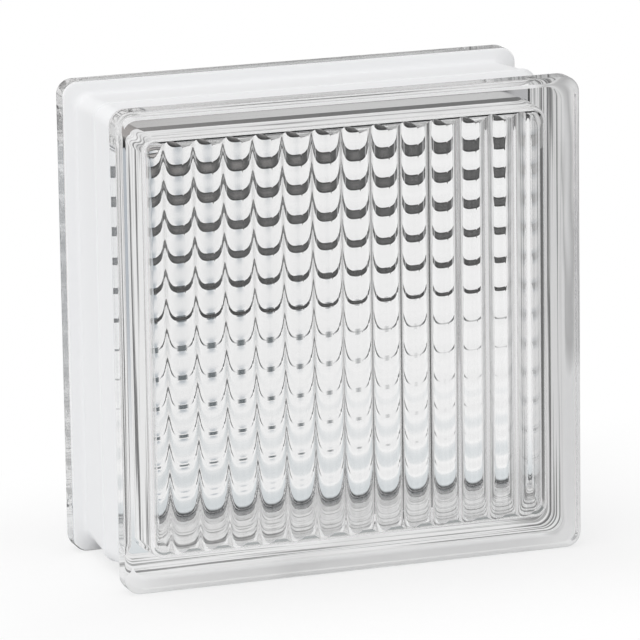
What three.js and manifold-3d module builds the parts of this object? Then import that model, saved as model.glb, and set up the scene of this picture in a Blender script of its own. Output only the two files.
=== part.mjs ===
// Hollow glass block: two pressed glass half shells, fused along a seam in the middle of the block's depth.
// Both halves come from one mould. The back one is turned a quarter, so that its waves cross the front one's.
// Units are millimetres. +Z is up, the front face looks along -Y, and the origin is under the block's centre.
import * as THREE from 'three';
import { mergeVertices } from 'three/addons/utils/BufferGeometryUtils.js';
import Module from 'manifold-3d';

const wasm = await Module();
wasm.setup();

// The block
const faceSize = 190; // width and height of each face
const blockDepth = 80; // from the front face to the back face

// The flange round each face, and the mortar key that the two flanges leave between them
const flangeThickness = 11;
const flangeCornerRadius = 6; // the face's corners, seen from the front
const faceEdgeRadius = 2.5; // where the face rounds over into the flange's edge
const flangeBackRadius = 1.5; // the flange's other edge
const flangeBackDraft = THREE.MathUtils.degToRad(20); // slope of the flange's back, which frees the mould
const keyDepth = 5; // from the flange's edge down to the key's wall
const keyRootRadius = 2.5; // fillet where the flange meets that wall
const keyCornerRadius = 5; // the key wall's corners, seen from the front
const keyWallRise = 1.4; // how much the wall rises from the flange to the seam
const seamBeadHeight = 0.5; // the seam's fused bead, over the wall
const seamBeadWidth = 2.4; // across both halves

// The glass
const faceThickness = 8; // the pane, at the middle of its waves
const wallThickness = 7.7; // the side wall, at the seam
const cavityDraft = THREE.MathUtils.degToRad(1.5); // the hollow widens from the pane to the seam
const cavityCornerRadius = 5; // the hollow's corners, seen from the front
const cavityFloorRadius = 6; // fillet between the pane and the side walls

// The waves pressed into the inside of each pane
const wavePitch = 12;
const waveHeight = 2; // from trough to crest
const floorClearance = 0.2; // from the troughs to the hollow's floor under them, so that no flats stay between waves

// How finely curves are cut into facets
const arcDivisions = 2; // a profile's arc has twice as many facets
const cornerFacets = 6;
const facetsPerWave = 12;
const cutOverrun = 2; // how far a cutting body passes the surface that it opens

const halfFace = faceSize / 2;
const halfDepth = blockDepth / 2;
const keyWallAtFlange = halfFace - keyDepth;
const keyWallAtSeam = keyWallAtFlange + keyWallRise;
const cavityAtSeam = keyWallAtSeam - wallThickness;
const waveMiddle = -halfDepth + faceThickness;
const waveTrough = waveMiddle - waveHeight / 2;
const cavityFloor = waveTrough - floorClearance;

// A square with round corners, in the plane at depth y, as points that run anticlockwise seen from the front.
function roundedSquare(y, halfWidth, cornerRadius) {
  const inset = halfWidth - cornerRadius;
  const centres = [[1, 1], [-1, 1], [-1, -1], [1, -1]];
  return centres.flatMap(([sideX, sideZ], corner) => {
    const points = [];
    for (let step = 0; step <= cornerFacets; step += 1) {
      const angle = (corner + step / cornerFacets) * Math.PI / 2;
      const x = sideX * inset + cornerRadius * Math.cos(angle);
      const z = sideZ * inset + cornerRadius * Math.sin(angle);
      points.push(new THREE.Vector3(x, y, z));
    }
    return points;
  });
}

// A closed body through sections of equal point counts, from the front one to the back one.
function loft(sections) {
  const count = sections[0].length;
  const triangles = [];
  for (let ring = 0; ring < sections.length - 1; ring += 1) {
    for (let point = 0; point < count; point += 1) {
      const a = ring * count + point;
      const b = ring * count + (point + 1) % count;
      triangles.push(a, a + count, b, b, a + count, b + count);
    }
  }
  const last = (sections.length - 1) * count;
  for (let point = 1; point < count - 1; point += 1) {
    triangles.push(0, point, point + 1);
    triangles.push(last, last + point + 1, last + point);
  }
  const geometry = new THREE.BufferGeometry().setFromPoints(sections.flat());
  geometry.setIndex(triangles);
  return geometry;
}

// A three.js geometry as a solid that can be cut and joined.
function toSolid(geometry) {
  const bare = geometry.clone();
  bare.deleteAttribute('normal');
  bare.deleteAttribute('uv');
  const merged = mergeVertices(bare);
  return new wasm.Manifold(new wasm.Mesh({
    numProp: 3,
    vertProperties: new Float32Array(merged.attributes.position.array),
    triVerts: new Uint32Array(merged.index.array),
  }));
}

function toGeometry(solid) {
  const mesh = solid.getMesh();
  const geometry = new THREE.BufferGeometry();
  geometry.setAttribute('position', new THREE.BufferAttribute(mesh.vertProperties, mesh.numProp));
  geometry.setIndex(new THREE.BufferAttribute(mesh.triVerts, 1));
  geometry.computeVertexNormals();
  return geometry;
}

// The outside of one half, as depth (x) against half width (y): face edge, flange, key wall and seam bead.
function outerProfile() {
  const flangeEdge = -halfDepth + flangeThickness - flangeBackRadius;
  const normal = new THREE.Vector2(Math.cos(flangeBackDraft), Math.sin(flangeBackDraft));
  const backStart = new THREE.Vector2(flangeEdge, halfFace - flangeBackRadius)
    .addScaledVector(normal, flangeBackRadius);
  const rootTop = keyWallAtFlange + keyRootRadius * (1 - normal.y);
  const rootDepth = backStart.x + (backStart.y - rootTop) * Math.tan(flangeBackDraft);
  const rootCentre = rootDepth + keyRootRadius * normal.x;

  const path = new THREE.Path();
  path.moveTo(-halfDepth, halfFace - faceEdgeRadius);
  path.absarc(-halfDepth + faceEdgeRadius, halfFace - faceEdgeRadius, faceEdgeRadius, Math.PI, Math.PI / 2, true);
  path.absarc(flangeEdge, halfFace - flangeBackRadius, flangeBackRadius, Math.PI / 2, flangeBackDraft, true);
  path.absarc(rootCentre, keyWallAtFlange + keyRootRadius, keyRootRadius,
    Math.PI + flangeBackDraft, Math.PI * 1.5, false);
  path.lineTo(-seamBeadWidth / 2, keyWallAtSeam);
  path.absellipse(0, keyWallAtSeam, seamBeadWidth / 2, seamBeadHeight, Math.PI, Math.PI / 2, true);
  return distinctPoints(path);
}

// The hollow of one half, before the waves fill its floor: floor fillet and drafted wall, past the seam.
function cavityProfile() {
  const slope = Math.tan(cavityDraft);
  const halfWidthAt = (depth) => cavityAtSeam + depth * slope;
  const filletTop = cavityFloor + cavityFloorRadius * (1 - Math.sin(cavityDraft));
  const filletCentre = halfWidthAt(filletTop) - cavityFloorRadius * Math.cos(cavityDraft);

  const path = new THREE.Path();
  path.absarc(cavityFloor + cavityFloorRadius, filletCentre, cavityFloorRadius,
    Math.PI, Math.PI / 2 + cavityDraft, true);
  path.lineTo(cutOverrun, halfWidthAt(cutOverrun));
  return distinctPoints(path);
}

function distinctPoints(path) {
  const tolerance = 1e-6;
  const points = path.getPoints(arcDivisions);
  return points.filter((point, index) => index === 0 || point.distanceTo(points[index - 1]) > tolerance);
}

// The flange's corners are rounder than its edge is thick, and the key wall's corners keep a radius of their own.
function outerCornerRadius(halfWidth) {
  const depthInKey = (halfFace - halfWidth) / keyDepth;
  return THREE.MathUtils.lerp(flangeCornerRadius, keyCornerRadius, Math.min(depthInKey, 1));
}

function outerBody() {
  const sections = outerProfile().map((point) => roundedSquare(point.x, point.y, outerCornerRadius(point.y)));
  return toSolid(loft(sections));
}

function hollow() {
  const sections = cavityProfile().map((point) => roundedSquare(point.x, point.y, cavityCornerRadius));
  return toSolid(loft(sections));
}

// The pane's waves, as one long corrugated bar that stands inside the hollow: crests at x = 0 and every pitch.
function waves() {
  const halfWidth = cavityAtSeam + cutOverrun;
  const step = wavePitch / facetsPerWave;
  const steps = Math.ceil(halfWidth / step);
  const outline = new THREE.Shape();
  outline.moveTo(-steps * step, cavityFloor - cutOverrun);
  for (let index = -steps; index <= steps; index += 1) {
    const x = index * step;
    outline.lineTo(x, waveMiddle + waveHeight / 2 * Math.cos(2 * Math.PI * x / wavePitch));
  }
  outline.lineTo(steps * step, cavityFloor - cutOverrun);
  outline.closePath();
  const bar = new THREE.ExtrudeGeometry(outline, { depth: 2 * halfWidth, bevelEnabled: false });
  bar.translate(0, 0, -halfWidth);
  return toSolid(bar);
}

function halfShell() {
  return toGeometry(outerBody().subtract(hollow().subtract(waves())));
}

function clearGlass(name) {
  return new THREE.MeshStandardMaterial({
    name, color: 0xe9f1ef, roughness: 0.05, metalness: 0, transparent: true, opacity: 0.35,
  });
}

const halfGeometry = halfShell();

const frontHalf = new THREE.Mesh(halfGeometry, clearGlass('clear_glass'));
frontHalf.name = 'front_half';

// Half a turn about the face's diagonal puts the second half behind the seam, with its waves lying level.
const backHalf = new THREE.Mesh(halfGeometry, clearGlass('clear_glass'));
backHalf.name = 'back_half';
backHalf.quaternion.setFromAxisAngle(new THREE.Vector3(1, 0, 1).normalize(), Math.PI);

const glassBlock = new THREE.Group();
glassBlock.name = 'glass_block';
glassBlock.position.z = halfFace;
glassBlock.add(frontHalf, backHalf);

export default glassBlock;
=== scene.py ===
"""Hollow glass block: a fused body of clear pressed glass, crossed waves inside, its edges coated white.

The body is modelled by hand: the outside and the hollow are square faces drawn out through their profiles,
the waves are corrugated slabs, and booleans cut one from the other.

The studio is a white floor and backdrop. A clear block shows what stands round it, so a dark flag hangs
round it, a dark card stands far behind it, the floor has a painted shadow under it, and the room is dark
over the backdrop, on the right and in front. Only glass shows these.

Sizes are in millimetres for the block, the camera and the lamp. They are in metres for the rest of the
studio, and wherever a paint or a shade starts and ends.
"""

import math

import bpy
from mathutils import Matrix, Vector


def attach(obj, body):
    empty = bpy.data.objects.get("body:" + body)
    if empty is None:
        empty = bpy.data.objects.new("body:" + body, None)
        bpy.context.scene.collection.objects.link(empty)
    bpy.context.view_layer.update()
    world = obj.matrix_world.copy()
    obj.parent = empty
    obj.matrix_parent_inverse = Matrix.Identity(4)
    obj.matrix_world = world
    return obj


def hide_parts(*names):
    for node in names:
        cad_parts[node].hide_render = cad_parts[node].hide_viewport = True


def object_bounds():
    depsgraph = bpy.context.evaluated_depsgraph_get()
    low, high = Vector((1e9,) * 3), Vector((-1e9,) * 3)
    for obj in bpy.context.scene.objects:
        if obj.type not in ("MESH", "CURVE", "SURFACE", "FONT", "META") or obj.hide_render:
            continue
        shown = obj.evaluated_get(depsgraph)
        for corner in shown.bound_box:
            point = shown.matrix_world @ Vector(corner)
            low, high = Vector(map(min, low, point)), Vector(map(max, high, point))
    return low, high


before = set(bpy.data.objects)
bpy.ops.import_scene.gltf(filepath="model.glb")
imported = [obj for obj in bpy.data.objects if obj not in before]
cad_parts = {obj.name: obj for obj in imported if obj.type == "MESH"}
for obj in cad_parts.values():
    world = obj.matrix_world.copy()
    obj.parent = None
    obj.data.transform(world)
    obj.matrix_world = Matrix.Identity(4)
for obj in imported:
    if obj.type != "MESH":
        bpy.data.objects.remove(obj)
cad_low, cad_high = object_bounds()

MM = 0.001
WHITE = (1, 1, 1, 1)

# The block's size, from the bounds of the parts in model.glb
FACE = (cad_high.x - cad_low.x) / MM
DEPTH = (cad_high.y - cad_low.y) / MM
HALF_FACE = FACE / 2
HALF_DEPTH = DEPTH / 2
CENTRE_HEIGHT = HALF_FACE * MM

# The flange round each face and the mortar key between the flanges
FLANGE_THICKNESS = 11
FLANGE_CORNER_RADIUS = 6
FACE_EDGE_RADIUS = 2.5
FLANGE_BACK_RADIUS = 1.5
FLANGE_BACK_DRAFT = math.radians(20)
KEY_DEPTH = 5
KEY_ROOT_RADIUS = 2.5
KEY_WALL_RISE = 1.4
SEAM_BEAD_HEIGHT = 0.5
SEAM_BEAD_WIDTH = 2.4

# The panes, the side wall and the hollow
FACE_THICKNESS = 8
WALL_THICKNESS = 7.7
CAVITY_DRAFT = math.radians(1.5)
CAVITY_CORNER_RADIUS = 5
CAVITY_FLOOR_RADIUS = 6

# The waves inside each pane
WAVE_PITCH = 12
WAVE_HEIGHT = 2.0
WAVE_FACETS = 32
FLOOR_CLEARANCE = 0.2

# How finely round shapes are cut, up to which turn faces are shaded as one, and how much wide ones count
CORNER_SEGMENTS = 10
ARC_SEGMENTS = 6
SMOOTH_ANGLE = math.radians(32)
WIDE_FACE_WEIGHT = 100

# The glass
GLASS_IOR = 1.52

# The white coat on the key's walls: it ends a little past the flange's back, part way round its edge
COAT_PAST_FLANGE_BACK = 0.6
COAT_COLOUR = (0.9, 0.905, 0.915, 1)
COAT_ROUGHNESS = 0.6
COAT_GLOW = 0.85
BRUSH_STROKES = (8, 260, 8)
BRUSH_DETAIL = 2

# How much light the coat lets through at each value of its brush strokes and painted light, and what each
# place adds to that value
COAT_SHADES = [(0, 0.2), (0.36, 0.2), (0.47, 0.95), (0.68, 0.95), (0.76, 0.6), (0.84, 0.97), (1, 0.97)]
# The flanges' backs let more through as painted light, the right flank less of it as painted shade, and
# the upright walls less as painted shade
FLANK_START = (0.02, 0.026)
RIGHT_FLANK_START = (0.07, 0.088)
FLANK_PAINTED_LIGHT = 0.55
RIGHT_FLANK_PAINTED_LIGHT = 0.33
SIDE_WALL_START = (0.07, 0.0885)
SIDE_WALL_PAINTED_SHADE = -0.05

# The camera
CAMERA_PLACE = (-722.6, -2039.0, 597.6)
CAMERA_YAW = math.radians(19.51)
CAMERA_PITCH = math.radians(-13.14)
CAMERA_ROLL = math.radians(-0.854)
CAMERA_LENS = 316.6
SENSOR_WIDTH = 36
VIEW_END = 50000

# The floor, and the soft shadow that the block lays on it
FLOOR_SIZE = 8
FLOOR_DROP = 0.0002
FLOOR_PAPER = (0.9, 0.9, 0.9, 1)
SHADOW_START = -0.01
SHADOW_REACH = 0.12
SHADOW_SHARE = 0.3

# The studio's brightness in glass at each direction, in degrees, round a point left of the block's front
SIDE_SHADES = [(-180, 0.15), (-120, 0.6), (40, 1), (54, 0.85), (68, 0.25), (90, 0.12), (180, 0.15)]
SIDE_CENTRE = (-0.1, -0.15)

# A ramp from 0 to 1 covers a full turn, and what is straight behind that point lies at its middle
FULL_TURN = 360
STRAIGHT_BEHIND = 0.5

# What glass shows of the floor: a painted shadow under the block and behind it, and bluish painted shade
# far behind its left side
UNDER_EDGE = (0.003, 0.008)
UNDER_START = (0.02, 0.034)
UNDER_FRONT_PAINTED_SHADOW = (0.4, 0.42, 0.42, 1)
UNDER_PAINTED_SHADOW = (0.02, 0.022, 0.025, 1)
BEHIND_PAINTED_SHADOW = (0.7, 0.74, 0.76, 1)
LEFT_SLANT = 0.09
LEFT_EDGE = (-0.14, 0.02)
LEFT_START = (0.1, 0.5)
LEFT_PAINTED_SHADE = (0.5, 0.54, 0.58, 1)

# The flag: its grey at each height over its lower edge, and where it is paler
FLAG_DISTANCE = 0.38
FLAG_SIDES = 96
FLAG_BOTTOM = 0.1035
FLAG_TOP = 0.42
FLAG_SHADES = [(0, 0.01), (0.028, 0.055), (0.032, 0.075), (0.082, 0.078), (0.094, 0.55), (0.125, 0.6),
               (0.145, 0.14), (0.19, 0.18), (0.3165, 0.25)]
FLAG_LEFT = (0.12, -0.08)
FLAG_UPPER = (0.14, 0.22)
FLAG_UPPER_LEFT_SHADE = (0.36, 0.34, 0.33, 1)
FLAG_FLANK = (0.3, 0.36)
FLAG_FLANK_SHADE = (0.3, 0.3, 0.3, 1)
FLAG_GAP_LEFT = (0.192, 0.2)
FLAG_GAP_RIGHT = (0.214, 0.222)
FLAG_GAP_TOP = (0.22, 0.235)
FLAG_GAP_SHADE = (0.45, 0.45, 0.46, 1)

# The card: how far behind the block it stands, its left end and top, and its soft right and lower edges
CARD_PLACE = 1.2
CARD_LEFT = -1.2
CARD_RIGHT = (0.03, 0.17)
CARD_BOTTOM = (0.058, 0.072)
CARD_TOP = 0.4
CARD_SHADE = (0.1, 0.12, 0.13, 1)

# The room: white up to the backdrop's top, in degrees over the horizon, dark above that and in front, and
# its light from left and right
BACKDROP_TOP = 2.6
BACKDROP_BLEND = 1.2
ROOM_SHADE = (0.05, 0.055, 0.06, 1)
ROOM_FRONT = (-0.5, 0)
FILL_LEFT = 1.05
FILL_RIGHT = 0.55

# The lamp overhead
LAMP_PLACE = (-300, -200, 1400)
LAMP_AIM = (0, 0, 95)
LAMP_SIZE = 900
LAMP_POWER = 4

# How often a sight line may bend or mirror before it is given up: the waves and walls take many turns
BENDS = 32
MIRRORINGS = 24


def make_camera():
    """The camera stands left of the block and a little above it."""
    bpy.ops.object.camera_add(location=Vector(CAMERA_PLACE) * MM)
    camera = bpy.context.object
    turn = Matrix.Rotation(-CAMERA_YAW, 4, "Z") @ Matrix.Rotation(math.pi / 2 + CAMERA_PITCH, 4, "X")
    camera.matrix_world = Matrix.Translation(camera.location) @ turn @ Matrix.Rotation(CAMERA_ROLL, 4, "Z")
    camera.data.lens = CAMERA_LENS
    camera.data.sensor_width = SENSOR_WIDTH
    camera.data.clip_end = VIEW_END * MM
    bpy.context.scene.camera = camera


def arc(centre, radius, start, end, segments=ARC_SEGMENTS):
    """Points (depth, half width) of an arc round centre, with angles in radians, both ends included."""
    points = []
    for step in range(segments + 1):
        angle = start + (end - start) * step / segments
        points.append((centre[0] + radius * math.cos(angle), centre[1] + radius * math.sin(angle)))
    return points


def mirrored(half_profile):
    """A profile from the front face to the seam, carried on to the back face."""
    return half_profile + [(-depth, width) for depth, width in reversed(half_profile)]


def outer_profile():
    """The outside, as (depth, half width): face edge, flange, key wall and seam bead."""
    wall_at_flange = HALF_FACE - KEY_DEPTH
    wall_at_seam = wall_at_flange + KEY_WALL_RISE
    flange_edge = -HALF_DEPTH + FLANGE_THICKNESS - FLANGE_BACK_RADIUS
    draft_cos, draft_sin = math.cos(FLANGE_BACK_DRAFT), math.sin(FLANGE_BACK_DRAFT)
    back_top = (flange_edge + FLANGE_BACK_RADIUS * draft_cos,
                HALF_FACE - FLANGE_BACK_RADIUS * (1 - draft_sin))
    root_top = wall_at_flange + KEY_ROOT_RADIUS * (1 - draft_sin)
    root_depth = back_top[0] + (back_top[1] - root_top) * math.tan(FLANGE_BACK_DRAFT)
    root_centre = (root_depth + KEY_ROOT_RADIUS * draft_cos, wall_at_flange + KEY_ROOT_RADIUS)

    profile = arc((-HALF_DEPTH + FACE_EDGE_RADIUS, HALF_FACE - FACE_EDGE_RADIUS),
                  FACE_EDGE_RADIUS, math.pi, math.pi / 2)
    profile += arc((flange_edge, HALF_FACE - FLANGE_BACK_RADIUS),
                   FLANGE_BACK_RADIUS, math.pi / 2, FLANGE_BACK_DRAFT)
    profile += arc(root_centre, KEY_ROOT_RADIUS, math.pi + FLANGE_BACK_DRAFT, 1.5 * math.pi)
    for step in range(ARC_SEGMENTS):
        angle = math.pi - math.pi / 2 * step / ARC_SEGMENTS
        profile.append((SEAM_BEAD_WIDTH / 2 * math.cos(angle),
                        wall_at_seam + SEAM_BEAD_HEIGHT * math.sin(angle)))
    return mirrored(profile)


def cavity_profile():
    """The hollow, as (depth, half width): floor fillet and drafted wall, up to the seam."""
    floor = -HALF_DEPTH + FACE_THICKNESS - WAVE_HEIGHT / 2 - FLOOR_CLEARANCE
    at_seam = HALF_FACE - KEY_DEPTH + KEY_WALL_RISE - WALL_THICKNESS
    slope = math.tan(CAVITY_DRAFT)
    fillet_top = floor + CAVITY_FLOOR_RADIUS * (1 - math.sin(CAVITY_DRAFT))
    fillet_centre = at_seam + fillet_top * slope - CAVITY_FLOOR_RADIUS * math.cos(CAVITY_DRAFT)
    profile = arc((floor + CAVITY_FLOOR_RADIUS, fillet_centre), CAVITY_FLOOR_RADIUS,
                  math.pi, math.pi / 2 + CAVITY_DRAFT, 2 * ARC_SEGMENTS)
    profile.append((-SEAM_BEAD_WIDTH / 2, at_seam - SEAM_BEAD_WIDTH / 2 * slope))
    return mirrored(profile)


def deselect_all():
    bpy.ops.object.select_all(action="DESELECT")


def pick(piece):
    deselect_all()
    piece.select_set(True)
    bpy.context.view_layer.objects.active = piece


def draw_out(name, profile, corner_radius):
    """A round-cornered square face, drawn out into a closed body through (depth, half width) steps."""
    deselect_all()
    depth, width = profile[0]
    bpy.ops.mesh.primitive_plane_add(size=2 * width * MM, rotation=(math.pi / 2, 0, 0),
                                     location=(0, depth * MM, CENTRE_HEIGHT))
    piece = bpy.context.object
    piece.name = piece.data.name = name
    bpy.ops.object.transform_apply(location=True, rotation=True, scale=True)
    bpy.ops.object.mode_set(mode="EDIT")
    bpy.ops.mesh.select_all(action="SELECT")
    bpy.ops.mesh.bevel(offset=corner_radius * MM, segments=CORNER_SEGMENTS, affect="VERTICES")
    bpy.ops.mesh.select_all(action="SELECT")
    for (depth, width), (next_depth, next_width) in zip(profile, profile[1:]):
        bpy.ops.mesh.extrude_region_move(
            TRANSFORM_OT_translate={"value": (0, (next_depth - depth) * MM, 0)})
        growth = next_width / width
        bpy.ops.transform.resize(value=(growth, 1, growth),
                                 center_override=(0, next_depth * MM, CENTRE_HEIGHT))
    bpy.ops.mesh.select_all(action="SELECT")
    bpy.ops.mesh.normals_make_consistent(inside=False)
    bpy.ops.object.mode_set(mode="OBJECT")
    return piece


def wave_slab(name):
    """A corrugated slab behind the front face: upright waves, a crest in the middle and at every pitch."""
    reach = HALF_FACE - KEY_DEPTH
    waves = math.ceil(reach / WAVE_PITCH)
    width = 2 * waves * WAVE_PITCH
    middle = -HALF_DEPTH + FACE_THICKNESS
    deselect_all()
    bpy.ops.mesh.primitive_grid_add(x_subdivisions=2 * waves * WAVE_FACETS, y_subdivisions=1,
                                    size=width * MM, rotation=(math.pi / 2, 0, 0),
                                    location=(0, middle * MM, CENTRE_HEIGHT))
    slab = bpy.context.object
    slab.name = slab.data.name = name
    bpy.ops.object.transform_apply(location=True, rotation=True, scale=True)
    for vertex in slab.data.vertices:
        turn = 2 * math.pi * vertex.co.x / (WAVE_PITCH * MM)
        vertex.co.y += WAVE_HEIGHT / 2 * MM * math.cos(turn)
    bpy.ops.object.mode_set(mode="EDIT")
    bpy.ops.mesh.select_all(action="SELECT")
    bpy.ops.mesh.extrude_region_move(TRANSFORM_OT_translate={"value": (0, -FACE_THICKNESS * MM, 0)})
    bpy.ops.mesh.select_all(action="SELECT")
    bpy.ops.mesh.normals_make_consistent(inside=False)
    bpy.ops.object.mode_set(mode="OBJECT")
    return slab


def turned_to_back(slab, name):
    """A copy of a front slab, half a turn about the face's diagonal: behind the seam, with level waves."""
    copy = slab.copy()
    copy.data = slab.data.copy()
    copy.name = copy.data.name = name
    bpy.context.collection.objects.link(copy)
    centre = Vector((0, 0, CENTRE_HEIGHT))
    half_turn = Matrix.Rotation(math.pi, 4, Vector((1, 0, 1)))
    copy.data.transform(Matrix.Translation(centre) @ half_turn @ Matrix.Translation(-centre))
    return copy


def cut(piece, tool):
    """Takes tool's body out of piece's, and removes the tool."""
    pick(piece)
    bpy.ops.object.modifier_add(type="BOOLEAN")
    boolean = piece.modifiers[-1]
    boolean.operation = "DIFFERENCE"
    boolean.solver = "EXACT"
    boolean.object = tool
    bpy.ops.object.modifier_apply(modifier=boolean.name)
    bpy.data.objects.remove(tool)


def smooth(piece):
    """Smooth shading that keeps the flat faces flat."""
    pick(piece)
    bpy.ops.object.shade_smooth_by_angle(angle=SMOOTH_ANGLE)
    bpy.ops.object.modifier_add(type="WEIGHTED_NORMAL")
    weighting = piece.modifiers[-1]
    weighting.keep_sharp = True
    weighting.weight = WIDE_FACE_WEIGHT
    bpy.ops.object.modifier_apply(modifier=weighting.name)


def feed(tree, value, socket):
    """Joins a socket to another one, or sets it to a plain value."""
    if isinstance(value, bpy.types.NodeSocket):
        tree.links.new(value, socket)
    else:
        socket.default_value = value


def maths(tree, operation, first, second=0):
    """One operation on two values, each a number or a socket."""
    node = tree.nodes.new("ShaderNodeMath")
    node.operation = operation
    feed(tree, first, node.inputs[0])
    feed(tree, second, node.inputs[1])
    return node.outputs[0]


def eased(tree, value, low, high, to_low, to_high):
    """The value's way from low to high, eased and laid out from to_low to to_high."""
    node = tree.nodes.new("ShaderNodeMapRange")
    node.interpolation_type = "SMOOTHSTEP"
    feed(tree, value, node.inputs["Value"])
    for name, number in (("From Min", low), ("From Max", high), ("To Min", to_low), ("To Max", to_high)):
        feed(tree, number, node.inputs[name])
    return node.outputs["Result"]


def greys(tree, value, shades):
    """A grey for each value from 0 to 1, blended between the shades, which are given as (value, grey)."""
    ramp = tree.nodes.new("ShaderNodeValToRGB")
    stops = ramp.color_ramp.elements
    for position, shade in shades[1:-1]:
        stops.new(position)
    for stop, (position, shade) in zip(stops, shades):
        stop.position = position
        stop.color = (shade, shade, shade, 1)
    feed(tree, value, ramp.inputs["Fac"])
    return ramp.outputs["Color"]


def colours(tree, factor, first, second):
    """The first colour where factor is 0, the second where it is 1."""
    node = tree.nodes.new("ShaderNodeMix")
    node.data_type = "RGBA"
    feed(tree, factor, node.inputs["Factor"])
    feed(tree, first, node.inputs["A"])
    feed(tree, second, node.inputs["B"])
    return node.outputs["Result"]


def tinted(tree, colour, tint):
    """A colour seen through a tint."""
    node = tree.nodes.new("ShaderNodeVectorMath")
    node.operation = "MULTIPLY"
    feed(tree, colour, node.inputs[0])
    feed(tree, tint, node.inputs[1])
    return node.outputs[0]


def surfaces(tree, factor, first, second):
    """The first shader where factor is 0, the second where it is 1."""
    node = tree.nodes.new("ShaderNodeMixShader")
    feed(tree, factor, node.inputs["Fac"])
    feed(tree, first, node.inputs[1])
    feed(tree, second, node.inputs[2])
    return node.outputs[0]


def measured(tree, output, axes):
    """The wanted parts of a Texture Coordinate output, such as "XZ"."""
    source = tree.nodes.new("ShaderNodeTexCoord")
    split = tree.nodes.new("ShaderNodeSeparateXYZ")
    feed(tree, source.outputs[output], split.inputs[0])
    return [split.outputs[axis] for axis in axes]


def within(tree, *parts):
    """The product of several values: 1 only where all of them are 1."""
    product = parts[0]
    for part in parts[1:]:
        product = maths(tree, "MULTIPLY", product, part)
    return product


def light_path(tree):
    """The outputs that tell how a sight line has come here."""
    return tree.nodes.new("ShaderNodeLightPath").outputs


def seen_straight(tree):
    """1 for what the camera looks at with nothing between."""
    return light_path(tree)["Is Camera Ray"]


def seen_bent(tree):
    """1 for what is seen mirrored, bent by glass or through the coat."""
    path = light_path(tree)
    return maths(tree, "MAXIMUM", path["Is Glossy Ray"], path["Is Transmission Ray"])


def seen_in_glass(tree):
    """1 for what is seen mirrored or bent by glass alone, 0 for the light that paint or paper scatters."""
    path = light_path(tree)
    scatterings = maths(tree, "ADD", path["Diffuse Depth"], path["Is Diffuse Ray"])
    scattered = maths(tree, "MINIMUM", scatterings, 1)
    return within(tree, seen_bent(tree), maths(tree, "SUBTRACT", 1, scattered))


def side_shade(tree, x, y):
    """How bright the studio is in each direction round the block: dark on its right and in front."""
    turns = maths(tree, "DIVIDE", maths(tree, "ARCTAN2", x, y), math.tau)
    shades = [(angle / FULL_TURN + STRAIGHT_BEHIND, shade) for angle, shade in SIDE_SHADES]
    return greys(tree, maths(tree, "ADD", turns, STRAIGHT_BEHIND), shades)


def new_material(name):
    """A material that uses nodes, with its Principled shader."""
    material = bpy.data.materials.new(name)
    material.use_nodes = True
    return material, material.node_tree.nodes["Principled BSDF"]


def finish_surface(tree, shader):
    """Joins a shader to the material's output."""
    feed(tree, shader, tree.nodes["Material Output"].inputs["Surface"])


def clear_glass():
    """Fire-polished clear glass."""
    material, glass = new_material("clear_glass")
    glass.inputs["Base Color"].default_value = WHITE
    glass.inputs["Roughness"].default_value = 0
    glass.inputs["IOR"].default_value = GLASS_IOR
    glass.inputs["Transmission Weight"].default_value = 1
    return material


def coat_strokes_and_painted_light(tree):
    """Brush strokes along each wall, with painted light on the flanges' backs, less of it on the right,
    and painted shade on the upright walls.
    """
    place = tree.nodes.new("ShaderNodeTexCoord")
    stretch = tree.nodes.new("ShaderNodeMapping")
    stretch.inputs["Scale"].default_value = BRUSH_STROKES
    noise = tree.nodes.new("ShaderNodeTexNoise")
    noise.inputs["Scale"].default_value = 1
    noise.inputs["Detail"].default_value = BRUSH_DETAIL
    feed(tree, place.outputs["Object"], stretch.inputs["Vector"])
    feed(tree, stretch.outputs["Vector"], noise.inputs["Vector"])
    x, y = measured(tree, "Object", "XY")
    flank = eased(tree, maths(tree, "ABSOLUTE", y), *FLANK_START, 0, 1)
    flank_painted_light = within(tree, flank, eased(tree, x, *RIGHT_FLANK_START, FLANK_PAINTED_LIGHT, RIGHT_FLANK_PAINTED_LIGHT))
    side_wall_painted_shade = eased(tree, maths(tree, "ABSOLUTE", x), *SIDE_WALL_START, 0, SIDE_WALL_PAINTED_SHADE)
    return maths(tree, "ADD", noise.outputs["Fac"], maths(tree, "ADD", flank_painted_light, side_wall_painted_shade))


def edge_coat():
    """The white coat on the mortar key's walls: dense from outside, and lit through as glass shows it."""
    material, paint = new_material("edge_coat")
    tree = material.node_tree
    paint.inputs["Base Color"].default_value = COAT_COLOUR
    paint.inputs["Roughness"].default_value = COAT_ROUGHNESS
    through = tree.nodes.new("ShaderNodeBsdfTranslucent")
    feed(tree, greys(tree, coat_strokes_and_painted_light(tree), COAT_SHADES), through.inputs["Color"])
    side = tree.nodes.new("ShaderNodeNewGeometry")
    from_glass = maths(tree, "MULTIPLY", side.outputs["Backfacing"], COAT_GLOW)
    finish_surface(tree, surfaces(tree, from_glass, paint.outputs[0], through.outputs[0]))
    return material


def coat_key_walls(piece):
    """Gives the key's walls the coat: every outward face between the two flanges."""
    piece.data.materials.append(edge_coat())
    coat = len(piece.data.materials) - 1
    reach = HALF_DEPTH - FLANGE_THICKNESS + COAT_PAST_FLANGE_BACK
    mid_wall = HALF_FACE - KEY_DEPTH - WALL_THICKNESS / 2
    for face in piece.data.polygons:
        centre = face.center / MM
        outward = max(abs(centre.x), abs(centre.z - HALF_FACE)) > mid_wall
        if abs(centre.y) < reach and outward:
            face.material_index = coat


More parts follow.
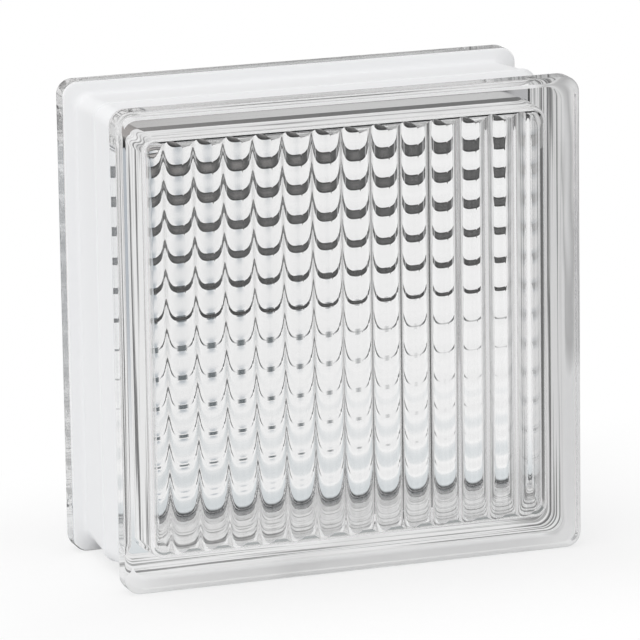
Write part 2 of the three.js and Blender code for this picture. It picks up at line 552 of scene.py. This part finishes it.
def glass_body():
    """The fused block: the outside less the hollow, which has the waves cut out of its two ends."""
    body = draw_out("glass_body", outer_profile(), FLANGE_CORNER_RADIUS)
    hollow = draw_out("hollow", cavity_profile(), CAVITY_CORNER_RADIUS)
    front_waves = wave_slab("front_waves")
    back_waves = turned_to_back(front_waves, "back_waves")
    cut(hollow, front_waves)
    cut(hollow, back_waves)
    cut(body, hollow)
    smooth(body)
    body.data.materials.clear()
    body.data.materials.append(clear_glass())
    coat_key_walls(body)
    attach(body, "root")
    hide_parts("front_half", "back_half")


def floor_in_glass(tree, x, y, away):
    """The floor as glass shows it: shaded as the studio is, with painted shadow under the block and behind
    it, and painted shade far behind its left side.
    """
    aside = maths(tree, "SUBTRACT", x, SIDE_CENTRE[0])
    ahead = maths(tree, "SUBTRACT", y, SIDE_CENTRE[1])
    past_edge = maths(tree, "SUBTRACT", x, maths(tree, "MULTIPLY", y, LEFT_SLANT))
    far_left = within(tree, eased(tree, past_edge, *LEFT_EDGE, 1, 0), eased(tree, y, *LEFT_START, 0, 1))
    close_behind = within(tree, eased(tree, away, 0, SHADOW_REACH, 1, 0),
                          eased(tree, y, 0, HALF_DEPTH * MM, 0, 1))
    under = colours(tree, eased(tree, y, *UNDER_START, 0, 1), UNDER_FRONT_PAINTED_SHADOW, UNDER_PAINTED_SHADOW)
    open_floor = colours(tree, close_behind, colours(tree, far_left, WHITE, LEFT_PAINTED_SHADE), BEHIND_PAINTED_SHADOW)
    painted_floor_shades = colours(tree, eased(tree, away, *UNDER_EDGE, 1, 0), open_floor, under)
    return tinted(tree, side_shade(tree, aside, ahead), painted_floor_shades)


def make_floor():
    """White paper: it glows white, and near the block a share of it shows the light that really falls."""
    bpy.ops.mesh.primitive_plane_add(size=FLOOR_SIZE, location=(0, 0, -FLOOR_DROP))
    floor = bpy.context.object
    floor.name = "floor"
    material, paper = new_material("floor")
    tree = material.node_tree
    paper.inputs["Base Color"].default_value = FLOOR_PAPER
    paper.inputs["Roughness"].default_value = 1
    x, y = measured(tree, "Object", "XY")
    beside = maths(tree, "SUBTRACT", maths(tree, "ABSOLUTE", x), HALF_FACE * MM)
    behind = maths(tree, "SUBTRACT", maths(tree, "ABSOLUTE", y), HALF_DEPTH * MM)
    away = maths(tree, "MAXIMUM", beside, behind)
    straight = seen_straight(tree)
    shadow = within(tree, eased(tree, away, SHADOW_START, SHADOW_REACH, SHADOW_SHARE, 0), straight)
    seen = maths(tree, "MAXIMUM", straight, seen_bent(tree))
    share = within(tree, seen, maths(tree, "SUBTRACT", 1, shadow))
    glow = tree.nodes.new("ShaderNodeEmission")
    shown = colours(tree, seen_in_glass(tree), WHITE, floor_in_glass(tree, x, y, away))
    feed(tree, shown, glow.inputs["Color"])
    finish_surface(tree, surfaces(tree, share, paper.outputs[0], glow.outputs[0]))
    floor.data.materials.append(material)


def bare_material(piece):
    """Gives a piece of the studio a material with nothing in it but its output."""
    material, plain = new_material(piece.name)
    material.node_tree.nodes.remove(plain)
    piece.data.materials.append(material)
    return material.node_tree


def show_in_glass_only(piece, tree, colour, part=1):
    """Gives a piece of the studio, or a part of it, a shade that only glass brings into view."""
    piece.visible_camera = False
    piece.visible_diffuse = False
    piece.visible_shadow = False
    glow = tree.nodes.new("ShaderNodeEmission")
    clear = tree.nodes.new("ShaderNodeBsdfTransparent")
    feed(tree, colour, glow.inputs["Color"])
    shown = within(tree, part, seen_in_glass(tree))
    finish_surface(tree, surfaces(tree, shown, clear.outputs[0], glow.outputs[0]))


def make_flag():
    """A dark band hung round the block, paler to its upper left, at its flanks and in a narrow gap."""
    height = FLAG_TOP - FLAG_BOTTOM
    bpy.ops.mesh.primitive_cylinder_add(vertices=FLAG_SIDES, radius=FLAG_DISTANCE, depth=height,
                                        end_fill_type="NOTHING", location=(0, 0, FLAG_BOTTOM + height / 2))
    flag = bpy.context.object
    flag.name = "flag"
    bpy.ops.object.transform_apply(location=True, rotation=True, scale=True)
    tree = bare_material(flag)
    x, z = measured(tree, "Object", "XZ")
    rise = maths(tree, "DIVIDE", maths(tree, "SUBTRACT", z, FLAG_BOTTOM), height)
    shade = greys(tree, rise, [(up / height, grey) for up, grey in FLAG_SHADES])
    upper_left = within(tree, eased(tree, x, *FLAG_LEFT, 0, 1), eased(tree, z, *FLAG_UPPER, 0, 1))
    flank = eased(tree, maths(tree, "ABSOLUTE", x), *FLAG_FLANK, 0, 1)
    paler = colours(tree, upper_left, shade, FLAG_UPPER_LEFT_SHADE)
    gap = within(tree, eased(tree, x, *FLAG_GAP_LEFT, 0, 1), eased(tree, x, *FLAG_GAP_RIGHT, 1, 0),
                 eased(tree, z, *FLAG_GAP_TOP, 1, 0))
    gapped = colours(tree, gap, paler, FLAG_GAP_SHADE)
    show_in_glass_only(flag, tree, colours(tree, flank, gapped, FLAG_FLANK_SHADE))


def make_card():
    """A low dark card far behind the block's left side."""
    deselect_all()
    bpy.ops.mesh.primitive_plane_add(size=2, rotation=(math.pi / 2, 0, 0), location=(0, CARD_PLACE, 0))
    card = bpy.context.object
    card.name = "card"
    bpy.ops.object.transform_apply(location=True, rotation=True, scale=True)
    for vertex in card.data.vertices:
        vertex.co.x = CARD_RIGHT[1] if vertex.co.x > 0 else CARD_LEFT
        vertex.co.z = CARD_TOP if vertex.co.z > 0 else CARD_BOTTOM[0]
    tree = bare_material(card)
    x, z = measured(tree, "Object", "XZ")
    soft_edges = within(tree, eased(tree, x, *CARD_RIGHT, 1, 0), eased(tree, z, *CARD_BOTTOM, 0, 1))
    show_in_glass_only(card, tree, CARD_SHADE, soft_edges)


def make_world():
    """A plain white studio; glass shows it white to a low backdrop's top, and dark above and in front."""
    world = bpy.data.worlds.new("studio")
    bpy.context.scene.world = world
    world.use_nodes = True
    tree = world.node_tree
    x, y, z = measured(tree, "Generated", "XYZ")
    top = math.radians(BACKDROP_TOP)
    over_top = eased(tree, z, top, top + math.radians(BACKDROP_BLEND), 0, 1)
    in_front = eased(tree, y, *ROOM_FRONT, 1, 0)
    room = colours(tree, in_front, colours(tree, over_top, WHITE, ROOM_SHADE), ROOM_SHADE)
    left_to_right = maths(tree, "ADD", maths(tree, "MULTIPLY", x, 0.5), 0.5)
    fill = greys(tree, left_to_right, [(0, FILL_LEFT), (1, FILL_RIGHT)])
    backdrop = colours(tree, seen_straight(tree), fill, WHITE)
    shown = colours(tree, seen_in_glass(tree), backdrop, tinted(tree, room, side_shade(tree, x, y)))
    background = tree.nodes["Background"]
    feed(tree, shown, background.inputs["Color"])
    background.inputs["Strength"].default_value = 1


def make_lamp():
    """One broad soft lamp overhead, kept out of the glass."""
    bpy.ops.object.light_add(type="AREA", location=Vector(LAMP_PLACE) * MM)
    lamp = bpy.context.object
    lamp.name = "overhead"
    lamp.data.size = LAMP_SIZE * MM
    lamp.data.energy = LAMP_POWER
    lamp.visible_camera = False
    lamp.visible_glossy = False
    lamp.visible_transmission = False
    lamp.rotation_euler = (Vector(LAMP_PLACE) - Vector(LAMP_AIM)).to_track_quat("Z", "Y").to_euler()


def set_view():
    """Colours as they are written, and bends and mirrorings enough for the glass."""
    scene = bpy.context.scene
    scene.view_settings.view_transform = "Standard"
    scene.cycles.max_bounces = BENDS
    scene.cycles.transmission_bounces = BENDS
    scene.cycles.glossy_bounces = MIRRORINGS


make_camera()
glass_body()
make_floor()
make_flag()
make_card()
make_world()
make_lamp()
set_view()
